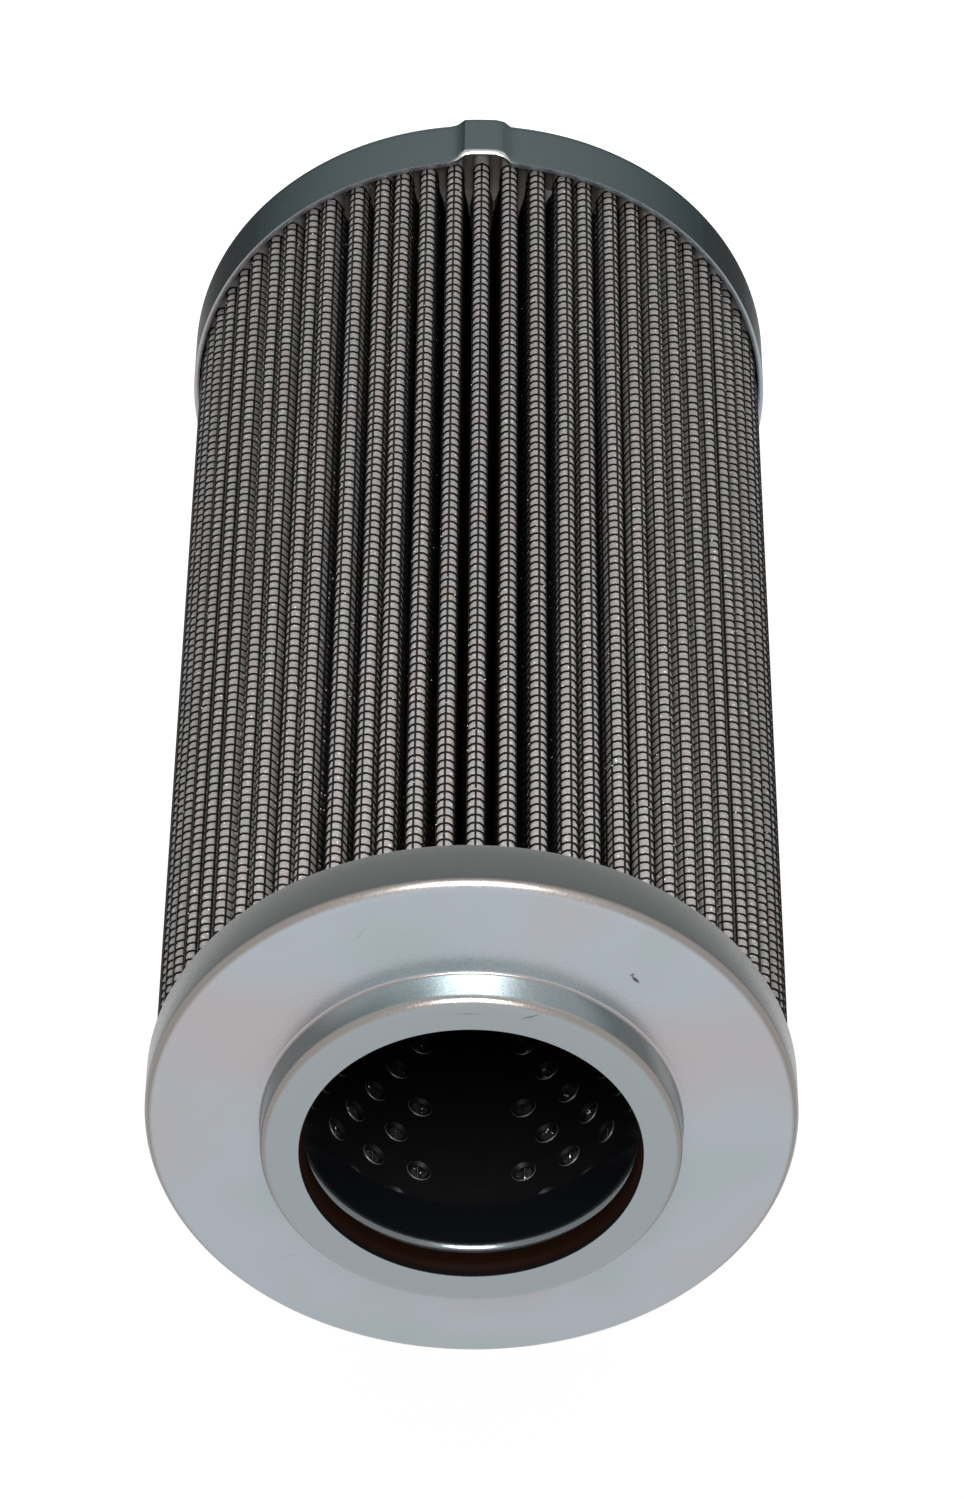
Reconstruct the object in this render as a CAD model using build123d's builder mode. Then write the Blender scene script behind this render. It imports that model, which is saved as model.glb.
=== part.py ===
from build123d import *

import math
import os

# A pleated hydraulic pressure filter element, standing on its closed end.
# Millimetres, +Z up along the axis, origin at the centre of the closed end's underside.

# Main sizes
cap_diameter = 78.0
face_height = 152.9
sheet = 0.7
bend_radius = 1.4
bend_flats = 2

# Neck end cap, its lip open a little wider than the spigot's bore
neck_skirt = 6.75
lip_clearance = 0.45

# Closed end cap with its centring lugs
closed_skirt = 9.3
lug_count = 3
lug_reach = 1.1
lug_top_width = 4.5
lug_base_width = 8.0

# O-ring, its cord drawn with flats that seat on the lip and the flange
cord = 3.55
cord_flats = 8
oring_squeeze = 0.15
groove_room = 1.0

# Guide sleeve under the O-ring, with the bore that fits the head's spigot
sleeve_bore = 40.0
sleeve_length = 7.7
flange_clearance = 0.2
flange_seat = 0.6

# Perforated core tube, rolled with a narrow flat under each possible column of holes
tube_clearance = 0.15
tube_wall = 0.6
tube_flats = 40
column_flats = 3
seam_flats = 4
hole_diameter = 3.2
hole_sides = 6
top_hole_depth = 17.5
row_step = 22.4
end_margin = 8.0

# Folded filter layers
pleat_count = 66
pleat_width = 2.0
tip_flats = 3
root_flats = 2
pleat_clearance = 0.2
pack_clearance = 0.1
fold_gap = 0.15
root_gap = 0.1

# Adhesive in both caps
potting_depth = 2.5

# Places worked out from the sizes above
cap_radius = cap_diameter / 2
skirt_bore_radius = cap_radius - sheet
sleeve_radius = sleeve_bore / 2
lip_radius = sleeve_radius + lip_clearance
oring_bore_radius = sleeve_radius - oring_squeeze
neck_bore_radius = oring_bore_radius + cord + groove_room
neck_radius = neck_bore_radius + sheet
face_underside = face_height - sheet
flange_underside = face_underside + flange_seat
flange_top = flange_underside + sheet
neck_top = flange_top + cord + sheet
tube_bore_radius = sleeve_radius + sheet + tube_clearance
tube_radius = tube_bore_radius + tube_wall
pack_bottom = sheet + potting_depth
pack_top = face_underside - potting_depth
pack_radius = skirt_bore_radius - pleat_clearance
pleat_pitch = 360 / pleat_count
front_angle = -90


def bend(centre_r, centre_z, radius, start, end, flats):
    """Points along a bend in a sheet's section, drawn with a few flats."""
    steps = [start + (end - start) * i / flats for i in range(flats + 1)]
    return [
        (
            centre_r + radius * math.cos(math.radians(step)),
            centre_z + radius * math.sin(math.radians(step)),
        )
        for step in steps
    ]


def turned(points, angle):
    """Points of a fold, given outwards along X, turned to their place round the axis."""
    c = math.cos(math.radians(angle))
    s = math.sin(math.radians(angle))
    return [(x * c - y * s, x * s + y * c) for x, y in points]


# Neck end cap: skirt, flat face, raised neck and the lip that keeps the O-ring in
neck_cap_section = [(cap_radius, face_height - neck_skirt)]
neck_cap_section += bend(
    cap_radius - bend_radius, face_height - bend_radius, bend_radius, 0, 90, bend_flats
)
neck_cap_section += [(neck_radius, face_height)]
neck_cap_section += bend(
    neck_radius - bend_radius, neck_top - bend_radius, bend_radius, 0, 90, bend_flats
)
neck_cap_section += [
    (lip_radius, neck_top),
    (lip_radius, neck_top - sheet),
    (neck_bore_radius, neck_top - sheet),
    (neck_bore_radius, face_underside),
    (skirt_bore_radius, face_underside),
    (skirt_bore_radius, face_height - neck_skirt),
]
with BuildPart() as neck_end_cap:
    with BuildSketch(Plane.XZ):
        with BuildLine():
            Polyline(*neck_cap_section, close=True)
        make_face()
    revolve(axis=Axis.Z)

# Closed end cap: a plain dish whose skirt has lugs pressed out of it
closed_cap_section = [(0, 0)]
closed_cap_section += bend(
    cap_radius - bend_radius, bend_radius, bend_radius, -90, 0, bend_flats
)
closed_cap_section += [
    (cap_radius, closed_skirt),
    (skirt_bore_radius, closed_skirt),
    (skirt_bore_radius, sheet),
    (0, sheet),
]
lug_outside = [
    (skirt_bore_radius + sheet / 2, -lug_base_width / 2),
    (cap_radius + lug_reach, -lug_top_width / 2),
    (cap_radius + lug_reach, lug_top_width / 2),
    (skirt_bore_radius + sheet / 2, lug_base_width / 2),
]
lug_inside = [(x - sheet, y) for x, y in lug_outside]
with BuildPart() as closed_end_cap:
    with BuildSketch(Plane.XZ):
        with BuildLine():
            Polyline(*closed_cap_section, close=True)
        make_face()
    revolve(axis=Axis.Z)
    with BuildSketch(Plane.XY.offset(bend_radius)):
        for lug in range(lug_count):
            with BuildLine():
                Polyline(*turned(lug_outside, front_angle + lug * 360 / lug_count), close=True)
            make_face()
    extrude(amount=closed_skirt - bend_radius)
    with BuildSketch(Plane.XY.offset(bend_radius + sheet)):
        for lug in range(lug_count):
            with BuildLine():
                Polyline(*turned(lug_inside, front_angle + lug * 360 / lug_count), close=True)
            make_face()
    extrude(amount=closed_skirt - bend_radius - sheet, mode=Mode.SUBTRACT)

# O-ring held between the lip and the sleeve's flange
with BuildPart() as o_ring:
    with BuildSketch(Plane.XZ):
        with Locations((oring_bore_radius + cord / 2, flange_top + cord / 2)):
            RegularPolygon(
                cord / 2,
                cord_flats,
                major_radius=False,
                rotation=90 + 180 / cord_flats,
            )
    revolve(axis=Axis.Z)

# Guide sleeve: a flange under the O-ring, bent down into the core tube
flange_radius = neck_bore_radius - flange_clearance
sleeve_section = [(flange_radius, flange_top)]
sleeve_section += bend(
    sleeve_radius + bend_radius, flange_top - bend_radius, bend_radius, 90, 180, bend_flats
)
sleeve_section += [
    (sleeve_radius, flange_top - sleeve_length),
    (sleeve_radius + sheet, flange_top - sleeve_length),
    (sleeve_radius + sheet, flange_underside),
    (flange_radius, flange_underside),
]
with BuildPart() as guide_sleeve:
    with BuildSketch(Plane.XZ):
        with BuildLine():
            Polyline(*sleeve_section, close=True)
        make_face()
    revolve(axis=Axis.Z)

# Core tube: rolled from punched sheet, with a blank strip along its seam, up to the flange
seam_angle = front_angle + 180
flat_step = 360 / tube_flats
column_step = column_flats * flat_step
first_column = seam_angle + seam_flats * flat_step / 2
hole_columns = (tube_flats - seam_flats) // column_flats + 1
top_hole_height = neck_top - top_hole_depth
hole_rows = int((top_hole_height - pack_bottom - end_margin) / row_step + 0.5)
flat_turn = first_column + flat_step / 2
with BuildPart() as core_tube:
    with BuildSketch(Plane.XY.offset(pack_bottom)):
        RegularPolygon(tube_radius, tube_flats, rotation=flat_turn)
        RegularPolygon(tube_bore_radius, tube_flats, rotation=flat_turn, mode=Mode.SUBTRACT)
    extrude(amount=flange_underside - pack_bottom)
    for column in range(hole_columns):
        angle = math.radians(first_column + column * column_step)
        outwards = Vector(math.cos(angle), math.sin(angle), 0)
        for row in range(hole_rows):
            height = top_hole_height - (row + 0.5 * (column % 2)) * row_step
            start = outwards * (tube_bore_radius - tube_wall) + Vector(0, 0, height)
            with BuildSketch(Plane(origin=start, x_dir=(0, 0, 1), z_dir=outwards)):
                RegularPolygon(hole_diameter / 2, hole_sides)
    extrude(amount=3 * tube_wall, mode=Mode.SUBTRACT)

# Folded filter layers: narrow pleats that reach from the tube to the caps' skirts
# The folds at the tube fill the pitch there, less a small gap from one to the next
tip_radius = pleat_width / 2
tip_turn = tip_flats % 2 * 90 / tip_flats
tip_centre = pack_radius - tip_radius * math.cos(math.radians(tip_turn))
fold_inside = tube_radius + pack_clearance
fold_pitch = math.radians(pleat_pitch)
root_radius = (fold_inside * fold_pitch - fold_gap) / (2 - fold_pitch)
root_centre = fold_inside + root_radius
valley_floor = root_centre - root_gap / 2
tip_fold = bend(tip_centre, 0, tip_radius, -90, 90, tip_flats)
root_fold = bend(root_centre, 0, root_radius, 270, 90, root_flats)
outer_surface = []
inner_surface = []
for pleat in range(pleat_count):
    pleat_angle = front_angle + pleat * pleat_pitch
    valley_angle = pleat_angle + pleat_pitch / 2
    outer_surface += turned(tip_fold, pleat_angle)
    outer_surface += turned([(valley_floor, 0)], valley_angle)
    inner_surface += turned([(tip_centre, 0)], pleat_angle)
    inner_surface += turned(root_fold, valley_angle)
with BuildPart() as pleated_media:
    with BuildSketch(Plane.XY.offset(pack_bottom)):
        with BuildLine():
            Polyline(*outer_surface, close=True)
        make_face()
        with BuildLine():
            Polyline(*inner_surface, close=True)
        make_face(mode=Mode.SUBTRACT)
    extrude(amount=pack_top - pack_bottom)

# Adhesive bead that closes the folded strip into a ring, in one valley at the back
seam_valley = front_angle + (pleat_count // 2 + 0.5) * pleat_pitch
seam_section = turned([(tip_centre, tip_radius)], seam_valley - pleat_pitch / 2)
seam_section += turned([(valley_floor, 0)], seam_valley)
seam_section += turned([(tip_centre, -tip_radius)], seam_valley + pleat_pitch / 2)
with BuildPart() as seam_adhesive:
    with BuildSketch(Plane.XY.offset(pack_bottom)):
        with BuildLine():
            Polyline(*seam_section, close=True)
        make_face()
    extrude(amount=pack_top - pack_bottom)

# Adhesive that seats the tube and the pleats in the caps
with BuildPart() as neck_potting:
    with BuildSketch(Plane.XY.offset(pack_top)):
        Circle(skirt_bore_radius)
        Circle(tube_radius, mode=Mode.SUBTRACT)
    extrude(amount=potting_depth)
with BuildPart() as closed_potting:
    with BuildSketch(Plane.XY.offset(sheet)):
        Circle(skirt_bore_radius)
    extrude(amount=potting_depth)

pieces = {
    "neck_end_cap": neck_end_cap,
    "closed_end_cap": closed_end_cap,
    "o_ring": o_ring,
    "guide_sleeve": guide_sleeve,
    "core_tube": core_tube,
    "pleated_media": pleated_media,
    "seam_adhesive": seam_adhesive,
    "neck_potting": neck_potting,
    "closed_potting": closed_potting,
}
os.makedirs("parts", exist_ok=True)
for name, piece in pieces.items():
    piece.part.label = name
    export_step(piece.part, f"parts/{name}.step")
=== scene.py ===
import logging
import math
import random
from contextlib import contextmanager
from dataclasses import dataclass, field
from enum import Enum
from typing import Callable, Iterator, Sequence

import bpy
from mathutils import Matrix, Vector


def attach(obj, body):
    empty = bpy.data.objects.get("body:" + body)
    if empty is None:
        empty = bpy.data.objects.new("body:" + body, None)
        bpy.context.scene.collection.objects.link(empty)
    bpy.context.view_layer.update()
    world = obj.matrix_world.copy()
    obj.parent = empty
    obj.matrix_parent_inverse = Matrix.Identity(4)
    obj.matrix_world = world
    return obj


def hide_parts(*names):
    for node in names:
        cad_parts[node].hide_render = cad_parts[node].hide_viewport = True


# The looks of a pleated hydraulic pressure filter element, which stands on its closed end.
# Sizes in the classes are millimetres and degrees; meshes are in metres.

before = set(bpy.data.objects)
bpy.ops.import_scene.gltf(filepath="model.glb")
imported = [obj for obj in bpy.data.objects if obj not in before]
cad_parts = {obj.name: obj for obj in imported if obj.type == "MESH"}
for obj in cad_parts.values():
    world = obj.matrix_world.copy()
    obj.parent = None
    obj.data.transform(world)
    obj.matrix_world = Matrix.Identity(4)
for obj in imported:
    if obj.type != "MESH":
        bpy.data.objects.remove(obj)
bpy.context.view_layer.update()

Piece = bpy.types.Object
Tree = bpy.types.NodeTree
Socket = bpy.types.NodeSocket
Colour = tuple[float, float, float, float]

MM = 0.001
FULL_TURN = 2 * math.pi
FRONT_ANGLE = -90.0
SMOOTH_ANGLE = math.radians(35)
MERGE_DISTANCE = 0.002 * MM
CUT_EDGE_RADIUS = 0.12
WIRE_SIDES = 5
WHITE: Colour = (1.0, 1.0, 1.0, 1.0)

log = logging.getLogger("filter_element")


class Finish(Enum):
    """The record's material slots."""

    ZINC = "zinc_plated_steel"
    TUBE = "tube_steel"
    RUBBER = "seal_rubber"
    FLEECE = "filter_fleece"
    ADHESIVE = "adhesive"


# Modelling helpers


def deselect() -> None:
    """Leaves object mode with nothing selected."""
    if bpy.context.object and bpy.context.object.mode != "OBJECT":
        bpy.ops.object.mode_set(mode="OBJECT")
    bpy.ops.object.select_all(action="DESELECT")


def make_active(piece: Piece) -> None:
    """Selects one piece alone and makes it the active one.

    Args:
        piece: the object that the next operators act on.
    """
    deselect()
    piece.select_set(True)
    bpy.context.view_layer.objects.active = piece


@contextmanager
def edit_mode(piece: Piece) -> Iterator[None]:
    """Opens a piece in edit mode with all its vertices selected, and closes it again.

    Args:
        piece: the mesh object to edit.
    """
    make_active(piece)
    bpy.context.tool_settings.mesh_select_mode = (True, False, False)
    bpy.ops.object.mode_set(mode="EDIT")
    select_all()
    yield
    bpy.ops.object.mode_set(mode="OBJECT")


def pick(piece: Piece, wanted: Callable[[Vector], bool]) -> None:
    """Selects, in edit mode, the vertices whose place passes a test, and no others.

    Args:
        piece: the mesh object being edited.
        wanted: takes a vertex's place in metres and says whether it is selected.
    """
    bpy.ops.mesh.select_all(action="DESELECT")
    bpy.ops.object.mode_set(mode="OBJECT")
    for vertex in piece.data.vertices:
        vertex.select = wanted(vertex.co)
    bpy.ops.object.mode_set(mode="EDIT")


def pick_faces(piece: Piece, wanted: Callable[[bpy.types.MeshPolygon], bool]) -> None:
    """Selects, in edit mode, the faces that pass a test, and no others.

    Args:
        piece: the mesh object being edited.
        wanted: takes a face and says whether it is selected.
    """
    bpy.context.tool_settings.mesh_select_mode = (False, False, True)
    bpy.ops.mesh.select_all(action="DESELECT")
    bpy.ops.object.mode_set(mode="OBJECT")
    for face in piece.data.polygons:
        face.select = wanted(face)
    bpy.ops.object.mode_set(mode="EDIT")


def near(place: Sequence[float]) -> Callable[[Vector], bool]:
    """A test, for pick, of vertices at one place in millimetres."""
    target = Vector(place) * MM
    return lambda co: (co - target).length < MERGE_DISTANCE


def at_height(height: float) -> Callable[[Vector], bool]:
    """A test, for pick, of vertices at one height in millimetres."""
    return lambda co: abs(co.z - height * MM) < 2 * MERGE_DISTANCE


def extrude(x: float, y: float, z: float) -> None:
    """Extrudes what is selected, in edit mode, by a step in millimetres."""
    bpy.ops.mesh.extrude_region_move(TRANSFORM_OT_translate={"value": (x * MM, y * MM, z * MM)})


def shift(x: float, y: float, z: float) -> None:
    """Moves what is selected, in edit mode, by a step in millimetres."""
    bpy.ops.transform.translate(value=(x * MM, y * MM, z * MM))


def select_all() -> None:
    """Selects the whole piece in edit mode."""
    bpy.ops.mesh.select_all(action="SELECT")


def weld(distance: float = MERGE_DISTANCE) -> None:
    """Merges all points of the piece in edit mode that lie within a distance in metres."""
    select_all()
    bpy.ops.mesh.remove_doubles(threshold=distance)


def face_one_way(inside: bool = False) -> None:
    """Turns all faces of the piece in edit mode outwards, or inwards."""
    select_all()
    bpy.ops.mesh.normals_make_consistent(inside=inside)


@dataclass(frozen=True)
class Corner:
    """A corner of a section or a path, in millimetres, with the radius that rounds it."""

    place: tuple[float, float, float]
    rounded: float = 0.0
    segments: int = 6


def draw_path(name: str, corners: Sequence[Corner]) -> Piece:
    """Draws an open path by extruding one vertex from corner to corner, then rounds its corners.

    Args:
        name: the new object's name.
        corners: the path's corners in order.

    Returns:
        A mesh object that has edges only.
    """
    deselect()
    bpy.ops.mesh.primitive_plane_add(size=MM, location=(0, 0, 0))
    piece = bpy.context.object
    piece.name = name
    with edit_mode(piece):
        bpy.ops.mesh.merge(type="CENTER")
        shift(*corners[0].place)
        for here, there in zip(corners, corners[1:]):
            extrude(*(Vector(there.place) - Vector(here.place)))
        for corner in corners:
            if corner.rounded:
                pick(piece, near(corner.place))
                bpy.ops.mesh.bevel(
                    offset=corner.rounded * MM,
                    segments=corner.segments,
                    affect="VERTICES",
                    clamp_overlap=False,
                )
        weld()
    return piece


def spin_round(piece: Piece, steps: int) -> None:
    """Spins a section about the axis into a closed shape of revolution.

    Args:
        piece: the section, in the XZ plane.
        steps: how many flats the full turn has.
    """
    with edit_mode(piece):
        bpy.ops.mesh.spin(steps=steps, angle=FULL_TURN, center=(0, 0, 0), axis=(0, 0, 1))
        weld()
        face_one_way()


def apply_modifier(piece: Piece, kind: str, **settings) -> None:
    """Adds one modifier with its settings and applies it.

    Args:
        piece: the mesh object.
        kind: the modifier's type, such as SOLIDIFY.
        settings: its properties by name.
    """
    make_active(piece)
    modifier = piece.modifiers.new(kind.title(), kind)
    for key, value in settings.items():
        setattr(modifier, key, value)
    bpy.ops.object.modifier_apply(modifier=modifier.name)


def array(piece: Piece, count: int, step: Sequence[float], merged: bool = False) -> None:
    """Arrays a piece along a straight row.

    Args:
        piece: the mesh object.
        count: how often the row has it.
        step: the move from one to the next, in millimetres.
        merged: whether neighbours that touch become one mesh.
    """
    apply_modifier(
        piece,
        "ARRAY",
        count=count,
        use_relative_offset=False,
        use_constant_offset=True,
        constant_offset_displace=[length * MM for length in step],
        use_merge_vertices=merged,
        merge_threshold=MERGE_DISTANCE,
    )


def smooth(piece: Piece, angle: float = SMOOTH_ANGLE) -> None:
    """Shades a piece smooth, with edges sharper than an angle left crisp."""
    make_active(piece)
    bpy.ops.object.shade_smooth_by_angle(angle=angle)


def give_wall(shell: Piece, thickness: float) -> None:
    """Thickens a pressed shell inwards, eases its cut edges and shades it smooth.

    Args:
        shell: the outer face of the sheet.
        thickness: the sheet's, in millimetres.
    """
    apply_modifier(shell, "SOLIDIFY", thickness=thickness * MM, offset=-1.0, use_even_offset=True)
    apply_modifier(
        shell,
        "BEVEL",
        width=CUT_EDGE_RADIUS * MM,
        segments=2,
        limit_method="ANGLE",
        angle_limit=math.radians(60),
    )
    smooth(shell)


def straight_wire(
    name: str, radius: float, length: float, middle: Sequence[float], ends: str = "NGON"
) -> Piece:
    """Models a thin straight wire that stands upright.

    Args:
        name: the new object's name.
        radius: its radius in millimetres.
        length: its length in millimetres.
        middle: the place of its middle in millimetres.
        ends: how its two ends are closed.

    Returns:
        The wire's object.
    """
    deselect()
    bpy.ops.mesh.primitive_cylinder_add(
        vertices=WIRE_SIDES,
        radius=radius * MM,
        depth=length * MM,
        end_fill_type=ends,
        location=(0, 0, 0),
    )
    wire = bpy.context.object
    wire.name = name
    with edit_mode(wire):
        shift(*middle)
    return wire


def copied(piece: Piece, place: Matrix) -> Piece:
    """Copies a piece with its own mesh, moved in its mesh.

    Args:
        piece: the piece that is modelled once.
        place: the move from that piece to the copy.

    Returns:
        The copy, in the scene's collection.
    """
    copy = piece.copy()
    copy.data = piece.data.copy()
    copy.data.transform(place)
    bpy.context.scene.collection.objects.link(copy)
    return copy


def joined(name: str, pieces: Sequence[Piece]) -> Piece:
    """Joins pieces into the first one.

    Args:
        name: the joined object's name.
        pieces: the mesh objects to join.

    Returns:
        The joined object.
    """
    deselect()
    for piece in pieces:
        piece.select_set(True)
    bpy.context.view_layer.objects.active = pieces[0]
    bpy.ops.object.join()
    pieces[0].name = name
    return pieces[0]


def discard(*pieces: Piece) -> None:
    """Deletes pieces that were only copied from."""
    for piece in pieces:
        bpy.data.objects.remove(piece, do_unlink=True)


def turn(angle: float) -> Matrix:
    """A turn about the filter's axis, in degrees."""
    return Matrix.Rotation(math.radians(angle), 4, "Z")


def move(x: float, y: float, z: float) -> Matrix:
    """A move in millimetres."""
    return Matrix.Translation(Vector((x, y, z)) * MM)


def eased(share: float) -> float:
    """Eases a share between 0 and 1 in and out."""
    return share * share * (3 - 2 * share)


def settle(
    piece: Piece, material: bpy.types.Material, nodes: Sequence[str] = ()
) -> None:
    """Dresses a finished piece and makes it ride on the filter's one body.

    Args:
        piece: the finished mesh object, at the origin.
        material: what it is made of.
        nodes: the CAD nodes that it stands for.
    """
    piece.data.materials.clear()
    piece.data.materials.append(material)
    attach(piece, "root")
    if nodes:
        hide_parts(*nodes)
    triangles = sum(len(face.vertices) - 2 for face in piece.data.polygons)
    log.info("%s: %d triangles", piece.name, triangles)


# Material helpers


def linear(hex_colour: str) -> Colour:
    """Turns an sRGB hex colour into the linear colour that Blender's sockets take.

    Args:
        hex_colour: such as "#AAAFB6".

    Returns:
        Red, green, blue and 1.
    """
    channels = [int(hex_colour[i : i + 2], 16) / 255 for i in (1, 3, 5)]
    shades = [c / 12.92 if c <= 0.04045 else ((c + 0.055) / 1.055) ** 2.4 for c in channels]
    return (*shades, 1.0)


def add_node(tree: Tree, kind: str, inputs: dict | None = None, **settings) -> bpy.types.Node:
    """Adds a node with its settings, values and links.

    Args:
        tree: the node tree.
        kind: the node's type without ShaderNode before it, such as Math.
        inputs: by socket name or number, a value or the output socket to link.
        settings: the node's properties by name.

    Returns:
        The node.
    """
    node = tree.nodes.new("ShaderNode" + kind)
    for key, value in settings.items():
        setattr(node, key, value)
    for key, value in (inputs or {}).items():
        if isinstance(value, Socket):
            tree.links.new(value, node.inputs[key])
        else:
            node.inputs[key].default_value = value
    return node


def blank_material(name: str) -> tuple[bpy.types.Material, Tree, Socket]:
    """Starts a material.

    Args:
        name: what the real thing is made of.

    Returns:
        The material, its empty node tree and the object coordinates that its patterns read.
    """
    material = bpy.data.materials.new(name)
    material.use_nodes = True
    tree = material.node_tree
    tree.nodes.clear()
    return material, tree, add_node(tree, "TexCoord").outputs["Object"]


def finish_surface(
    tree: Tree, grain: Socket, bump: tuple[float, float], values: dict[str, object]
) -> None:
    """Ends a material with the fine relief of its grain, its shader and its output.

    Args:
        tree: the material's node tree.
        grain: the pattern that stands up or lies low.
        bump: how strongly it does, and how high in millimetres.
        values: the shader's other values and links by socket name.
    """
    relief = {"Height": grain, "Strength": bump[0], "Distance": bump[1] * MM}
    normal = add_node(tree, "Bump", relief).outputs[0]
    shader = add_node(tree, "BsdfPrincipled", {**values, "Normal": normal})
    add_node(tree, "OutputMaterial", {"Surface": shader.outputs[0]})


def painted(tree: Tree, base: Socket | Colour, coats: Sequence[tuple]) -> Socket:
    """Lays colours over a base, one after the other, each where its mask shows.

    Args:
        tree: the material's node tree.
        base: the first colour.
        coats: each coat's mask and colour, as sockets or values.

    Returns:
        The colour's socket.
    """
    colour = base
    for mask, coat in coats:
        mixed = add_node(tree, "Mix", {0: mask, 6: colour, 7: coat}, data_type="RGBA")
        colour = mixed.outputs[2]
    return colour


def coats_by(tree: Tree, value: Socket, tints: Sequence[tuple]) -> list[tuple[Socket, Colour]]:
    """Builds coats that come in as a value passes from one level to another.

    Args:
        tree: the material's node tree.
        value: what the coats follow, such as a noise, a radius or a slope.
        tints: each tint's hex colour, the level where it starts and the one where it is full.

    Returns:
        The masks and colours, for painted.
    """
    coats = []
    for tint, start, full in tints:
        mask = add_node(tree, "MapRange", {"Value": value, "From Min": start, "From Max": full})
        coats.append((mask.outputs[0], linear(tint)))
    return coats


def glints(tree: Tree, place: Socket, size: float, reach: float, rarity: float) -> Socket:
    """Builds a mask of small specks that are painted white as glints, where fibres or wires would
    catch the light.

    Args:
        tree: the material's node tree.
        place: the object coordinates.
        size: millimetres from one possible speck to the next.
        reach: a speck's radius as a share of that.
        rarity: the share of places that stay without one.

    Returns:
        The mask's socket.
    """
    cells = add_node(tree, "TexVoronoi", {"Vector": place, "Scale": 1 / (size * MM)})
    chance = add_node(tree, "SeparateXYZ", {0: cells.outputs["Color"]}).outputs["X"]
    speck = add_node(
        tree, "Math", {0: cells.outputs["Distance"], 1: reach}, operation="LESS_THAN"
    ).outputs[0]
    chosen = add_node(tree, "Math", {0: chance, 1: rarity}, operation="GREATER_THAN").outputs[0]
    return add_node(tree, "Math", {0: speck, 1: chosen}, operation="MULTIPLY").outputs[0]


def from_axis(tree: Tree, place: Socket) -> tuple[Socket, Socket]:
    """Measures how far a point lies from the filter's axis and how squarely it looks away from it.

    Args:
        tree: the material's node tree.
        place: the object coordinates.

    Returns:
        The sockets of the radius in metres and of the cosine between the normal and outwards.
    """
    flat = add_node(tree, "VectorMath", {0: place, 1: (1, 1, 0)}, operation="MULTIPLY").outputs[0]
    radius = add_node(tree, "VectorMath", {0: flat}, operation="LENGTH").outputs["Value"]
    outwards = add_node(tree, "VectorMath", {0: flat}, operation="NORMALIZE").outputs[0]
    normal = add_node(tree, "NewGeometry").outputs["Normal"]
    facing = add_node(tree, "VectorMath", {0: outwards, 1: normal}, operation="DOT_PRODUCT")
    return radius, facing.outputs["Value"]


def seen_white(tree: Tree) -> Socket:
    """Builds a mask of the rays that see the white background: straight, in gloss and in glass.

    Args:
        tree: the floor's or the world's node tree.

    Returns:
        The mask's socket.
    """
    rays = add_node(tree, "LightPath").outputs
    seen = rays["Is Camera Ray"]
    for kind in ("Is Glossy Ray", "Is Transmission Ray"):
        seen = add_node(tree, "Math", {0: seen, 1: rays[kind]}, operation="MAXIMUM").outputs[0]
    return seen


@dataclass(frozen=True)
class Mark:
    """A scratch or smudge: its place, direction, half length, half width and strength."""

    place: tuple[float, float, float]
    heading: float
    length: float
    width: float
    strength: float
    depth: float = 1.0
    ragged: float = 0.5

    def mask(self, tree: Tree, place: Socket) -> Socket:
        """Builds the mark's mask.

        Args:
            tree: the material's node tree.
            place: the object coordinates.

        Returns:
            The socket with the mark's strength, 0 away from it.
        """
        local = add_node(
            tree,
            "Mapping",
            {
                "Vector": place,
                "Location": Vector(self.place) * MM,
                "Rotation": (0, 0, math.radians(self.heading)),
                "Scale": (self.length * MM, self.width * MM, self.depth * MM),
            },
            vector_type="TEXTURE",
        ).outputs[0]
        wander = add_node(
            tree, "TexNoise", {"Vector": place, "Scale": 1 / (self.ragged * MM), "Detail": 2.0}
        ).outputs[0]
        reach = add_node(tree, "VectorMath", {0: local}, operation="LENGTH").outputs["Value"]
        edge = add_node(tree, "Math", {0: reach, 1: wander}, operation="ADD").outputs[0]
        return add_node(
            tree,
            "MapRange",
            {"Value": edge, "From Min": 1.5, "From Max": 1.1, "To Max": self.strength},
        ).outputs[0]


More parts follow.
